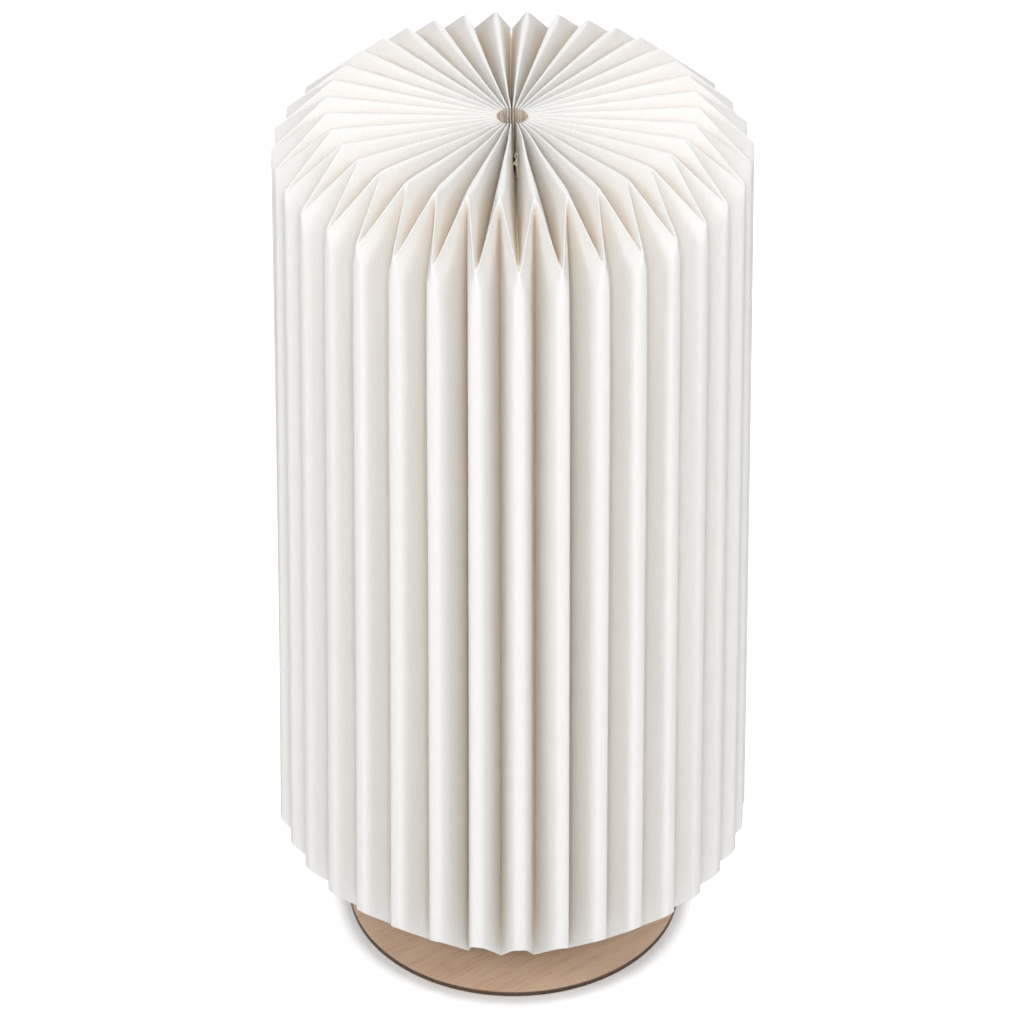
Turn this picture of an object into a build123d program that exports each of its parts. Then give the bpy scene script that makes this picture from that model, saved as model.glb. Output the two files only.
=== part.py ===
"""Pleated paper table lamp: a tall folded paper shade that rests on a wire frame,
over a screw-in bulb in a lampholder on a thin plywood disc.

Millimetres, +Z up. The origin is on the lamp's axis, on the surface it stands on.
The front of the lamp, where the shade's gathering string is tied, faces -Y.
"""

import os
from math import cos, radians, sin, sqrt

from build123d import *

os.makedirs("parts", exist_ok=True)

# ---------------------------------------------------------------- clearances
rest_gap = 0.3  # under a piece that lifts off or turns away from its seat
slip_gap = 0.05  # round a piece pushed into its hole
thread_gap = 0.07  # between the bulb's cap and the lampholder's screw shell
hole_gap = 0.1  # round the string where it runs through the paper

# ---------------------------------------------------------------- paper shade
pleat_count = 36
paper_thickness = 0.25
fold_back = 0.36  # flat width along the back of every fold

shade_top = 422.7  # height of the corners where the side's valleys turn over the top
corner_radius = 77.3
tip_drop = 20.5  # the notches where the side's ridges turn inwards lie this much lower
tip_radius = 100.0
hem_tip_height = 52.9  # lower end of the side's ridges
hem_tip_radius = 107.6
hem_corner_height = 30.1  # lower end of the side's valleys
hub_radius = 6.3  # eye in the middle of the top
hub_sink = 6.5  # the eye's rim lies this much below the corners
hem_return = 8.93  # how far the hem is folded in, from corner to mouth
mouth_rise = 0.4  # the hem's underside rises this much from corner to mouth

# ---------------------------------------------------------------- string
string_radius = 0.35
string_ring_radius = 22.0
string_depth = 0.48  # share of the pleat's depth, from its crest down
knot_radius = 0.8
tail_radius = 0.3
tail_drop = 6.0
tail_lean = 0.6

# ---------------------------------------------------------------- plywood base
pad_thickness = 1.0
pad_radius = 7.0
pad_inset = 12.7  # from the disc's edge to the pads' centres
pad_count = 3
disc_radius = 76.7
disc_thickness = 2.5
riser_radius = 44.0
riser_thickness = 9.0
edge_softening = 0.3

# ---------------------------------------------------------------- wire frame
wire_radius = 1.5
ring_inset = 6.3  # from the shade's corners to the middle of the ring's wire
leg_count = 4
leg_inset = 6.0  # from the riser's edge to the middle of each leg's foot
leg_straight = 6.0  # upright part of each leg above the riser
leg_bend = 12.0
leg_cope = 0.75  # each leg's path ends this much under the middle of the ring's wire

# ---------------------------------------------------------------- lampholder
holder_radius = 29.0
holder_height = 24.0
holder_wall = 2.5
holder_floor = 3.0
cover_plate = 2.5
cover_spigot = 2.0
plate_softening = 0.6
barrel_wall = 2.5
barrel_height = 27.0
barrel_room = 2.0  # between the contact block and the barrel round it
block_margin = 1.98  # the contact block's edge, outside the screw shell
block_height = 24.5
block_flat = 12.0  # distance from the axis to the block's flat front
shell_wall = 0.4
shell_height = 24.0
rivet_radius = 1.5
rivet_head_radius = 2.2
rivet_head_height = 0.7
rivet_length = 6.0
rivet_room = 0.32  # between a rivet's head and the screw shell's wall
eye_margin = 0.4  # between a rivet's head and the eye in the shell's floor
contact_strip_width = 5.0
contact_strip_thickness = 0.4
contact_strip_room = 0.567  # between the strip's foot and the shell's eye
contact_strip_tongue = 5.0
contact_strip_rise = 1.8
contact_strip_ramp = 3.0
terminal_width = 7.0
terminal_depth = 6.0
terminal_height = 10.0
terminal_offset = 8.0
terminal_screw_rise = 7.0
terminal_wire_rise = 3.0
terminal_wire_radius = 1.2
terminal_screw_radius = 1.5
terminal_head_radius = 2.6
terminal_head_height = 1.8
fixing_count = 2
fixing_radius = 1.8
fixing_head_radius = 3.4
fixing_head_height = 2.0
fixing_floor = 1.0  # wood left under each screw's tip
slot_width = 0.9
slot_depth = 0.8
inlet_height = 9.5  # inlet's axis above the lampholder's foot
inlet_bore_radius = 3.4
inlet_neck_radius = 4.6
inlet_flange_radius = 6.2
inlet_flange = 1.6
inlet_lip = 1.2

# ---------------------------------------------------------------- bulb
cap_radius = 13.05
cap_wall = 0.3
cap_height = 21.3
cap_lip_radius = 10.2
cap_shoulder = 2.0
button_radius = 4.5
button_height = 1.0
insulator_height = 4.0
insulator_cone = 2.2
housing_neck_overhang = 0.55
housing_waist_radius = 21.0
housing_waist_rise = 27.0
housing_top_rise = 44.0
housing_wall = 1.4
housing_spigot = 5.0
globe_radius = 30.0
globe_wall = 1.2
globe_height = 38.0
globe_skirt = 3.0
globe_overhang = 0.8  # the globe's edge, outside the housing's rim
globe_shoulder = 0.55  # share of the dome's height where its curve is pulled upright
globe_crown = 12.0  # radius to which its curve is pulled level at the top
led_board_inset = 1.8  # from the inside of the housing's rim to the board's edge
led_board_thickness = 1.6
chip_count = 12
chip_circle = 17.0
chip_size = 2.8
chip_height = 0.7
driver_width = 17.0
driver_thickness = 1.2
driver_height = 32.0
capacitor_radius = 4.0
capacitor_length = 12.0
coil_width = 8.0
coil_height = 7.0
coil_depth = 6.0

# ---------------------------------------------------------------- derived radii
frame_ring_radius = corner_radius - ring_inset
pad_circle = disc_radius - pad_inset
leg_foot_radius = riser_radius - leg_inset
shell_radius = cap_radius + thread_gap + shell_wall
rivet_circle = cap_radius + thread_gap - rivet_room - rivet_head_radius
shell_eye_radius = rivet_circle - rivet_head_radius - eye_margin
block_radius = shell_radius + block_margin
barrel_radius = block_radius + barrel_room + barrel_wall
fixing_circle = (block_radius + holder_radius - holder_wall) / 2
housing_neck_radius = cap_radius + housing_neck_overhang
housing_top_radius = globe_radius - globe_overhang
led_board_radius = housing_top_radius - housing_wall - led_board_inset

# ---------------------------------------------------------------- derived heights
tip_height = shade_top - tip_drop
hub_rim_height = shade_top - hub_sink
disc_base = pad_thickness
disc_top = disc_base + disc_thickness
riser_top = disc_top + riser_thickness
holder_top = riser_top + holder_height
cover_top = holder_top + cover_plate
block_base = riser_top + holder_floor
block_top = block_base + block_height
inlet_axis_height = riser_top + inlet_height
strip_top = block_top + contact_strip_rise + contact_strip_thickness
button_base = strip_top + rest_gap
insulator_base = button_base + button_height
cap_base = insulator_base + insulator_cone
cap_top = cap_base + cap_height
housing_base = cap_top - housing_spigot
housing_top = cap_top + housing_top_rise
board_top = housing_top
board_base = board_top - led_board_thickness


# ---------------------------------------------------------------- folded paper
half_pitch = 180 / pleat_count
front = -90.0  # direction of the first ridge, in degrees from +X
flare = (hem_tip_radius - tip_radius) / (tip_height - hem_tip_height)
apex_height = tip_height + tip_radius / flare


def valley_radius(height):
    """Radius of the side's valleys: they meet the ridges' lines at one far apex."""
    return corner_radius * (apex_height - height) / (apex_height - shade_top)


def half_pleat(outer, inner):
    """Distance between neighbouring folds at these radii, in a level plane."""
    return sqrt(outer**2 + inner**2 - 2 * outer * inner * cos(radians(half_pitch)))


def pleat_depth(panel, radius):
    """How deep the radiating pleats of a panel's width stand at this radius."""
    return sqrt(panel**2 - half_pleat(radius, radius) ** 2)


top_panel = half_pleat(tip_radius, valley_radius(tip_height))
hem_panel = half_pleat(hem_tip_radius, valley_radius(hem_tip_height))
hub_floor_height = hub_rim_height - pleat_depth(top_panel, hub_radius)
mouth_radius = valley_radius(hem_corner_height) - hem_return
mouth_floor_height = hem_corner_height + mouth_rise
mouth_crown_height = mouth_floor_height + pleat_depth(hem_panel, mouth_radius)

# Radius and height of each fold at its four stations: eye, top turn, hem turn, mouth.
ridge_fold = [
    (hub_radius, hub_floor_height),
    (tip_radius, tip_height),
    (hem_tip_radius, hem_tip_height),
    (mouth_radius, mouth_crown_height),
]
valley_fold = [
    (hub_radius, hub_rim_height),
    (corner_radius, shade_top),
    (valley_radius(hem_corner_height), hem_corner_height),
    (mouth_radius, mouth_floor_height),
]
folds = [ridge_fold, valley_fold]
eye, top_turn, hem_turn, mouth = range(4)


def fold_frame(fold, side):
    """Outward direction at a fold, and the direction along the rim on one side."""
    angle = radians(front + half_pitch * fold)
    return Vector(cos(angle), sin(angle), 0), Vector(-sin(angle), cos(angle), 0) * side


def at_fold(fold, side, local):
    """A point or step given as outward, sideways and up, turned to its fold."""
    outward, sideways = fold_frame(fold, side)
    return outward * local.X + sideways * local.Y + Vector(0, 0, local.Z)


def crease_point(fold, side, station):
    """A corner of the sheet's middle surface, beside the back of a fold."""
    radius, height = folds[fold % 2][station]
    return at_fold(fold, side, Vector(radius, fold_back / 2, height))


def panel_normal(fold, band):
    """Outer normal of the panel after a fold, as outward, sideways and up there."""
    upper_left = crease_point(fold, 1, band)
    upper_right = crease_point(fold + 1, -1, band)
    lower_right = crease_point(fold + 1, -1, band + 1)
    lower_left = crease_point(fold, 1, band + 1)
    normal = (lower_left - upper_right).cross(lower_right - upper_left).normalized()
    outward, sideways = fold_frame(fold, 1)
    return Vector(normal.dot(outward), normal.dot(sideways), normal.Z)


def skin_step(fold, station):
    """Step from the middle surface to the outer skin, on the side after the fold."""
    half = paper_thickness / 2
    if station in (top_turn, hem_turn):
        above = panel_normal(fold, station - 1)
        below = panel_normal(fold, station)
        return (above + below) * (half / (1 + above.dot(below)))
    band = min(station, hem_turn)
    (radius, height), (next_radius, next_height) = folds[fold][band : band + 2]
    back = Vector(height - next_height, 0, next_radius - radius).normalized()
    panel = panel_normal(fold, band)
    rise = half / back.Z
    return Vector(0, (half - panel.Z * rise) / panel.Y, rise)


skin_steps = [[skin_step(fold, station) for station in range(4)] for fold in range(2)]


def skin_point(edge, station, skin):
    """A corner of the outer skin (skin = 1) or the inner skin (skin = -1)."""
    fold, side = edge
    radius, height = folds[fold % 2][station]
    middle = Vector(radius, fold_back / 2, height)
    return at_fold(fold, side, middle + skin_steps[fold % 2][station] * skin)


def patch(a, b, c, d):
    """One flat face through four corners, or two triangles where they're twisted."""
    if abs((b - a).cross(c - a).dot(d - a)) < 1e-6:
        return [Face(Wire.make_polygon([a, b, c, d]))]
    return [Face(Wire.make_polygon([a, b, c])), Face(Wire.make_polygon([a, c, d]))]


def strip_faces(left, right):
    """All faces between two crease edges, from the eye over the side to the mouth."""
    faces = []
    for station in range(3):
        for skin in (-1, 1):
            faces += patch(
                skin_point(left, station, skin),
                skin_point(right, station, skin),
                skin_point(right, station + 1, skin),
                skin_point(left, station + 1, skin),
            )
    for station in (eye, mouth):
        faces += patch(
            skin_point(left, station, -1),
            skin_point(right, station, -1),
            skin_point(right, station, 1),
            skin_point(left, station, 1),
        )
    return faces


def folded_sheet():
    """The whole folded sheet as one closed solid of the paper's thickness."""
    faces = []
    for ridge in range(0, 2 * pleat_count, 2):
        faces += strip_faces((ridge, -1), (ridge, 1))
        faces += strip_faces((ridge + 1, -1), (ridge + 1, 1))
        faces += strip_faces((ridge, 1), (ridge + 1, -1))
        faces += strip_faces((ridge, -1), (ridge - 1, 1))
    return Solid(Shell(faces))


def top_height(fold, radius):
    """Height of a fold's middle line across the top, at this radius."""
    (inner, low), (outer, high) = folds[fold][eye], folds[fold][top_turn]
    return low + (high - low) * (radius - inner) / (outer - inner)


crest_at_string = top_height(1, string_ring_radius)
string_height = crest_at_string - string_depth * pleat_depth(top_panel, string_ring_radius)

with BuildPart() as pleated_shade:
    add(folded_sheet())
    with Locations((0, 0, string_height)):
        Torus(string_ring_radius, string_radius + hole_gap, mode=Mode.SUBTRACT)

pleated_shade.part.label = "pleated_shade"
export_step(pleated_shade.part, "parts/pleated_shade.step")

# ---------------------------------------------------------------- gathering string
with BuildPart() as tie_string:
    with Locations((0, 0, string_height)):
        Torus(string_ring_radius, string_radius)
    with Locations((0, -string_ring_radius, string_height)):
        Sphere(knot_radius)
    with BuildLine() as tail_path:
        Line(
            (0, -string_ring_radius, string_height),
            (0, -string_ring_radius - tail_lean, string_height - tail_drop),
        )
    with BuildSketch(Plane(origin=tail_path.line @ 0, z_dir=tail_path.line % 0)):
        Circle(tail_radius)
    sweep()

tie_string.part.label = "tie_string"
export_step(tie_string.part, "parts/tie_string.step")

# ---------------------------------------------------------------- felt pads
with BuildPart() as felt_pads:
    with BuildSketch():
        with PolarLocations(pad_circle, pad_count, start_angle=-front):
            Circle(pad_radius)
    extrude(amount=pad_thickness)

felt_pads.part.label = "felt_pads"
export_step(felt_pads.part, "parts/felt_pads.step")

# ---------------------------------------------------------------- plywood disc
with BuildPart() as base_disc:
    with BuildSketch(Plane.XY.offset(disc_base)):
        Circle(disc_radius)
    extrude(amount=disc_thickness)
    chamfer(base_disc.edges().filter_by(GeomType.CIRCLE), edge_softening)

base_disc.part.label = "base_disc"
export_step(base_disc.part, "parts/base_disc.step")

# ---------------------------------------------------------------- plywood riser
leg_angle = front + 180 / leg_count
fixing_depth = riser_thickness - fixing_floor

with BuildPart() as riser_disc:
    with BuildSketch(Plane.XY.offset(disc_top)):
        Circle(riser_radius)
        with PolarLocations(leg_foot_radius, leg_count, start_angle=leg_angle):
            Circle(wire_radius + slip_gap, mode=Mode.SUBTRACT)
    extrude(amount=riser_thickness)
    chamfer(riser_disc.edges().group_by(Axis.Z)[-1].sort_by(Edge.length)[-1], edge_softening)
    with BuildSketch(Plane.XY.offset(riser_top)):
        with PolarLocations(fixing_circle, fixing_count):
            Circle(fixing_radius + slip_gap)
    extrude(amount=-(fixing_depth + slip_gap), mode=Mode.SUBTRACT)

riser_disc.part.label = "riser_disc"
export_step(riser_disc.part, "parts/riser_disc.step")

# ---------------------------------------------------------------- wire frame
skin_drop = max(abs(skin_steps[0][station].Z) for station in (eye, top_turn))
frame_ring_height = top_height(0, frame_ring_radius) - skin_drop - rest_gap - wire_radius

with BuildPart() as frame_ring:
    with Locations((0, 0, frame_ring_height)):
        Torus(frame_ring_radius, wire_radius)

frame_ring.part.label = "frame_ring"
export_step(frame_ring.part, "parts/frame_ring.step")

for leg_number in range(leg_count):
    leg_plane = Plane.XZ.rotated((0, 0, leg_angle + leg_number * 360 / leg_count))
    with BuildPart() as frame_leg:
        with BuildLine(leg_plane) as leg_path:
            FilletPolyline(
                (leg_foot_radius, disc_top),
                (leg_foot_radius, riser_top + leg_straight),
                (frame_ring_radius, frame_ring_height - leg_cope),
                radius=leg_bend,
            )
        with BuildSketch(Plane(origin=leg_path.line @ 0, z_dir=leg_path.line % 0)):
            Circle(wire_radius)
        sweep()
        with Locations((0, 0, frame_ring_height)):
            Torus(frame_ring_radius, wire_radius, mode=Mode.SUBTRACT)
    leg_name = f"frame_leg_{leg_number + 1}"
    frame_leg.part.label = leg_name
    export_step(frame_leg.part, f"parts/{leg_name}.step")

# ---------------------------------------------------------------- lampholder housing
with BuildPart() as holder_base:
    with BuildSketch(Plane.XY.offset(riser_top)):
        Circle(holder_radius)
    extrude(amount=holder_height)
    with BuildSketch(Plane.XY.offset(block_base)):
        Circle(holder_radius - holder_wall)
    extrude(amount=holder_height - holder_floor, mode=Mode.SUBTRACT)
    with BuildSketch(Plane.XY.offset(riser_top)):
        with PolarLocations(fixing_circle, fixing_count):
            Circle(fixing_radius + slip_gap)
    extrude(amount=holder_floor, mode=Mode.SUBTRACT)
    with BuildSketch(Plane.XZ.offset(-holder_radius)):
        with Locations((0, inlet_axis_height)):
            Circle(inlet_neck_radius + slip_gap)
    extrude(amount=holder_wall + inlet_lip, mode=Mode.SUBTRACT)
    fillet(holder_base.edges().group_by(Axis.Z)[0].sort_by(Edge.length)[-1], edge_softening)

holder_base.part.label = "holder_base"
export_step(holder_base.part, "parts/holder_base.step")

# ---------------------------------------------------------------- cord inlet bush
inlet_front = Plane.XZ.offset(-holder_radius)

with BuildPart() as cord_inlet:
    with BuildSketch(inlet_front):
        with Locations((0, inlet_axis_height)):
            Circle(inlet_flange_radius)
    extrude(amount=-inlet_flange)
    with BuildSketch(inlet_front):
        with Locations((0, inlet_axis_height)):
            Circle(inlet_neck_radius)
    extrude(amount=holder_wall + inlet_lip)
    with BuildSketch(Plane.XZ.offset(-holder_radius - inlet_flange)):
        with Locations((0, inlet_axis_height)):
            Circle(inlet_bore_radius)
    extrude(amount=holder_wall + inlet_lip + inlet_flange, mode=Mode.SUBTRACT)
    outer_rim = cord_inlet.faces().sort_by(Axis.Y)[-1].edges()
    fillet(outer_rim.sort_by(Edge.length)[-1], edge_softening)

cord_inlet.part.label = "cord_inlet"
export_step(cord_inlet.part, "parts/cord_inlet.step")

# ---------------------------------------------------------------- contact block
with BuildPart() as contact_block:
    with BuildSketch(Plane.XY.offset(block_base)):
        Circle(block_radius)
        with Locations((0, -block_flat)):
            Rectangle(
                2 * block_radius,
                block_radius,
                align=(Align.CENTER, Align.MAX),
                mode=Mode.SUBTRACT,
            )
    extrude(amount=block_height)
    with BuildSketch(Plane.XY.offset(block_top)):
        with PolarLocations(rivet_circle, 2, start_angle=90):
            Circle(rivet_radius + slip_gap)
    extrude(amount=-rivet_length, mode=Mode.SUBTRACT)

contact_block.part.label = "contact_block"
export_step(contact_block.part, "parts/contact_block.step")

# ---------------------------------------------------------------- screw shell
with BuildPart() as screw_shell:
    with BuildSketch(Plane.XY.offset(block_top)):
        Circle(shell_radius)
    extrude(amount=shell_height)
    with BuildSketch(Plane.XY.offset(block_top + shell_wall)):
        Circle(shell_radius - shell_wall)
    extrude(amount=shell_height - shell_wall, mode=Mode.SUBTRACT)
    with BuildSketch(Plane.XY.offset(block_top)):
        Circle(shell_eye_radius)
        with PolarLocations(rivet_circle, 2, start_angle=90):
            Circle(rivet_radius + slip_gap)
    extrude(amount=shell_wall, mode=Mode.SUBTRACT)

screw_shell.part.label = "screw_shell"
export_step(screw_shell.part, "parts/screw_shell.step")

# ---------------------------------------------------------------- shell rivets
with BuildPart() as shell_rivets:
    with BuildSketch(Plane.XY.offset(block_top + shell_wall)):
        with PolarLocations(rivet_circle, 2, start_angle=90):
            Circle(rivet_head_radius)
    extrude(amount=rivet_head_height)
    with BuildSketch(Plane.XY.offset(block_top + shell_wall)):
        with PolarLocations(rivet_circle, 2, start_angle=90):
            Circle(rivet_radius)
    extrude(amount=-(rivet_length + shell_wall - slip_gap))

shell_rivets.part.label = "shell_rivets"
export_step(shell_rivets.part, "parts/shell_rivets.step")

# ---------------------------------------------------------------- centre contact
strip_reach = shell_eye_radius - contact_strip_room
strip_start = -sqrt(strip_reach**2 - (contact_strip_width / 2) ** 2)
ramp_length = sqrt(contact_strip_ramp**2 + contact_strip_rise**2)
ramp_shift = contact_strip_thickness * (ramp_length - contact_strip_ramp) / contact_strip_rise

with BuildPart() as centre_contact:
    with BuildSketch(Plane.XZ.offset(-contact_strip_width / 2)):
        with BuildLine():
            Polyline(
                (strip_start, block_top),
                (-contact_strip_ramp, block_top),
                (0, block_top + contact_strip_rise),
                (contact_strip_tongue / 2, block_top + contact_strip_rise),
                (contact_strip_tongue / 2, strip_top),
                (-ramp_shift, strip_top),
                (-contact_strip_ramp - ramp_shift, block_top + contact_strip_thickness),
                (strip_start, block_top + contact_strip_thickness),
                close=True,
            )
        make_face()
    extrude(amount=contact_strip_width)

centre_contact.part.label = "centre_contact"
export_step(centre_contact.part, "parts/centre_contact.step")

# ---------------------------------------------------------------- terminals
terminal_front = -block_flat - terminal_depth
terminal_axis_height = block_base + terminal_screw_rise
terminal_wire_height = block_base + terminal_wire_rise

with BuildPart() as terminals:
    with BuildSketch(Plane.XY.offset(block_base)):
        with Locations((-terminal_offset, -block_flat), (terminal_offset, -block_flat)):
            Rectangle(terminal_width, terminal_depth, align=(Align.CENTER, Align.MAX))
    extrude(amount=terminal_height)
    with BuildSketch(Plane.YZ.offset(-terminal_offset - terminal_width)):
        with Locations((-block_flat - terminal_depth / 2, terminal_wire_height)):
            Circle(terminal_wire_radius)
    extrude(amount=2 * (terminal_offset + terminal_width), mode=Mode.SUBTRACT)
    with BuildSketch(Plane.XZ.offset(-terminal_front)):
        with Locations(
            (-terminal_offset, terminal_axis_height), (terminal_offset, terminal_axis_height)
        ):
            Circle(terminal_screw_radius + slip_gap)
    extrude(amount=-terminal_depth / 2, mode=Mode.SUBTRACT)

terminals.part.label = "terminals"
export_step(terminals.part, "parts/terminals.step")

with BuildPart() as terminal_screws:
    with BuildSketch(Plane.XZ.offset(-terminal_front)):
        with Locations(
            (-terminal_offset, terminal_axis_height), (terminal_offset, terminal_axis_height)
        ):
            Circle(terminal_head_radius)
    extrude(amount=terminal_head_height)
    with BuildSketch(Plane.XZ.offset(-terminal_front)):
        with Locations(
            (-terminal_offset, terminal_axis_height), (terminal_offset, terminal_axis_height)
        ):
            Circle(terminal_screw_radius)
    extrude(amount=-(terminal_depth / 2 - slip_gap))
    with BuildSketch(Plane.XZ.offset(-terminal_front + terminal_head_height)):
        with Locations(
            (-terminal_offset, terminal_axis_height), (terminal_offset, terminal_axis_height)
        ):
            Rectangle(2 * terminal_head_radius, slot_width)
    extrude(amount=-slot_depth, mode=Mode.SUBTRACT)

terminal_screws.part.label = "terminal_screws"
export_step(terminal_screws.part, "parts/terminal_screws.step")

# ---------------------------------------------------------------- lampholder screws
with BuildPart() as holder_screws:
    with BuildSketch(Plane.XY.offset(block_base)):
        with PolarLocations(fixing_circle, fixing_count):
            Circle(fixing_head_radius)
    extrude(amount=fixing_head_height)
    with BuildSketch(Plane.XY.offset(block_base)):
        with PolarLocations(fixing_circle, fixing_count):
            Circle(fixing_radius)
    extrude(amount=-(holder_floor + fixing_depth))
    with BuildSketch(Plane.XY.offset(block_base + fixing_head_height)):
        with PolarLocations(fixing_circle, fixing_count):
            Rectangle(2 * fixing_head_radius, slot_width)
    extrude(amount=-slot_depth, mode=Mode.SUBTRACT)

holder_screws.part.label = "holder_screws"
export_step(holder_screws.part, "parts/holder_screws.step")

# ---------------------------------------------------------------- lampholder cover
with BuildPart() as holder_cover:
    with BuildSketch(Plane.XY.offset(holder_top)):
        Circle(holder_radius)
    extrude(amount=cover_plate)
    with BuildSketch(Plane.XY.offset(holder_top)):
        Circle(holder_radius - holder_wall - slip_gap)
    extrude(amount=-cover_spigot)
    with BuildSketch(Plane.XY.offset(cover_top)):
        Circle(barrel_radius)
    extrude(amount=barrel_height)
    with BuildSketch(Plane.XY.offset(holder_top - cover_spigot)):
        Circle(barrel_radius - barrel_wall)
    extrude(amount=cover_spigot + cover_plate + barrel_height, mode=Mode.SUBTRACT)
    plate_rim = holder_cover.edges().filter_by_position(Axis.Z, cover_top, cover_top)
    fillet(plate_rim.sort_by(Edge.length)[-1], plate_softening)
    fillet(holder_cover.edges().group_by(Axis.Z)[-1], edge_softening)

holder_cover.part.label = "holder_cover"
export_step(holder_cover.part, "parts/holder_cover.step")

# ---------------------------------------------------------------- bulb's contact button
with BuildPart() as bulb_contact:
    with BuildSketch(Plane.XY.offset(button_base)):
        Circle(button_radius)
    extrude(amount=button_height)
    fillet(bulb_contact.edges().group_by(Axis.Z)[0], edge_softening)

bulb_contact.part.label = "bulb_contact"
export_step(bulb_contact.part, "parts/bulb_contact.step")

# ---------------------------------------------------------------- bulb's insulator
insulator_radius = cap_lip_radius - thread_gap
insulator_top = insulator_base + insulator_height

with BuildPart() as bulb_insulator:
    with BuildSketch(Plane.XZ):
        with BuildLine():
            Polyline(
                (0, insulator_base),
                (button_radius, insulator_base),
                (insulator_radius, insulator_base + insulator_cone),
                (insulator_radius, insulator_top),
                (0, insulator_top),
                close=True,
            )
        make_face()
    revolve(axis=Axis.Z)

bulb_insulator.part.label = "bulb_insulator"
export_step(bulb_insulator.part, "parts/bulb_insulator.step")

# ---------------------------------------------------------------- bulb's screw cap
with BuildPart() as bulb_cap:
    with BuildSketch(Plane.XZ):
        with BuildLine():
            Polyline(
                (cap_lip_radius, cap_base),
                (cap_lip_radius + cap_wall, cap_base),
                (cap_radius, cap_base + cap_shoulder),
                (cap_radius, cap_top),
                (cap_radius - cap_wall, cap_top),
                (cap_radius - cap_wall, cap_base + cap_shoulder),
                (cap_lip_radius, cap_base + cap_wall),
                close=True,
            )
        make_face()
    revolve(axis=Axis.Z)

bulb_cap.part.label = "bulb_cap"
export_step(bulb_cap.part, "parts/bulb_cap.step")

# ---------------------------------------------------------------- bulb's housing
spigot_radius = cap_radius - cap_wall - slip_gap

with BuildPart() as bulb_housing:
    with BuildSketch(Plane.XZ):
        with BuildLine():
            outer_start = Polyline(
                (spigot_radius - housing_wall, housing_base),
                (spigot_radius, housing_base),
                (spigot_radius, cap_top),
                (housing_neck_radius, cap_top),
            )
            outer_side = Spline(
                outer_start @ 1,
                (housing_waist_radius, cap_top + housing_waist_rise),
                (housing_top_radius, housing_top),
            )
            Polyline(
                outer_side @ 1,
                (housing_top_radius - housing_wall, housing_top),
                (led_board_radius, board_base),
                (housing_waist_radius - housing_wall, cap_top + housing_waist_rise),
                (spigot_radius - housing_wall, cap_top + housing_wall),
                outer_start @ 0,
            )
        make_face()
    revolve(axis=Axis.Z)

bulb_housing.part.label = "bulb_housing"
export_step(bulb_housing.part, "parts/bulb_housing.step")

# ---------------------------------------------------------------- bulb's globe
skirt_top = housing_top + globe_skirt
globe_top = skirt_top + globe_height

with BuildPart() as bulb_globe:
    with BuildSketch(Plane.XZ):
        with BuildLine():
            skirt = Line((globe_radius, housing_top), (globe_radius, skirt_top))
            dome = Bezier(
                skirt @ 1,
                (globe_radius, skirt_top + globe_height * globe_shoulder),
                (globe_crown, globe_top),
                (0, globe_top),
            )
            Line(dome @ 1, (0, globe_top - globe_wall))
            inner_dome = Bezier(
                (0, globe_top - globe_wall),
                (globe_crown, globe_top - globe_wall),
                (
                    globe_radius - globe_wall,
                    skirt_top + (globe_height - globe_wall) * globe_shoulder,
                ),
                (globe_radius - globe_wall, skirt_top),
            )
            Polyline(inner_dome @ 1, (globe_radius - globe_wall, housing_top), skirt @ 0)
        make_face()
    revolve(axis=Axis.Z)

bulb_globe.part.label = "bulb_globe"
export_step(bulb_globe.part, "parts/bulb_globe.step")

# ---------------------------------------------------------------- light-emitting board
with BuildPart() as led_board:
    with BuildSketch(Plane.XY.offset(board_base)):
        Circle(led_board_radius - slip_gap)
    extrude(amount=led_board_thickness)

led_board.part.label = "led_board"
export_step(led_board.part, "parts/led_board.step")

with BuildPart() as led_chips:
    with BuildSketch(Plane.XY.offset(board_top)):
        with PolarLocations(chip_circle, chip_count):
            Rectangle(chip_size, chip_size)
    extrude(amount=chip_height)

led_chips.part.label = "led_chips"
export_step(led_chips.part, "parts/led_chips.step")

# ---------------------------------------------------------------- driver board
driver_base = board_base - driver_height

with BuildPart() as driver_board:
    with BuildSketch(Plane.XY.offset(driver_base)):
        Rectangle(driver_width, driver_thickness)
    extrude(amount=driver_height)

driver_board.part.label = "driver_board"
export_step(driver_board.part, "parts/driver_board.step")

with BuildPart() as driver_capacitor:
    with BuildSketch(Plane.XY.offset(driver_base + driver_height / 2)):
        with Locations((0, driver_thickness / 2 + capacitor_radius)):
            Circle(capacitor_radius)
    extrude(amount=capacitor_length)
    fillet(driver_capacitor.edges().group_by(Axis.Z)[-1], edge_softening)

driver_capacitor.part.label = "driver_capacitor"
export_step(driver_capacitor.part, "parts/driver_capacitor.step")

with BuildPart() as driver_coil:
    with BuildSketch(Plane.XY.offset(driver_base + driver_height / 2)):
        with Locations((0, -driver_thickness / 2)):
            Rectangle(coil_width, coil_depth, align=(Align.CENTER, Align.MAX))
    extrude(amount=coil_height)

driver_coil.part.label = "driver_coil"
export_step(driver_coil.part, "parts/driver_coil.step")
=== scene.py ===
"""Looks of the pleated paper table lamp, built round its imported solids.

Sizes are in millimetres and turned to metres by MM. +Z is up, the front faces -Y.
"""

import math

import bpy
import numpy as np
from mathutils import Matrix, Vector


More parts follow.
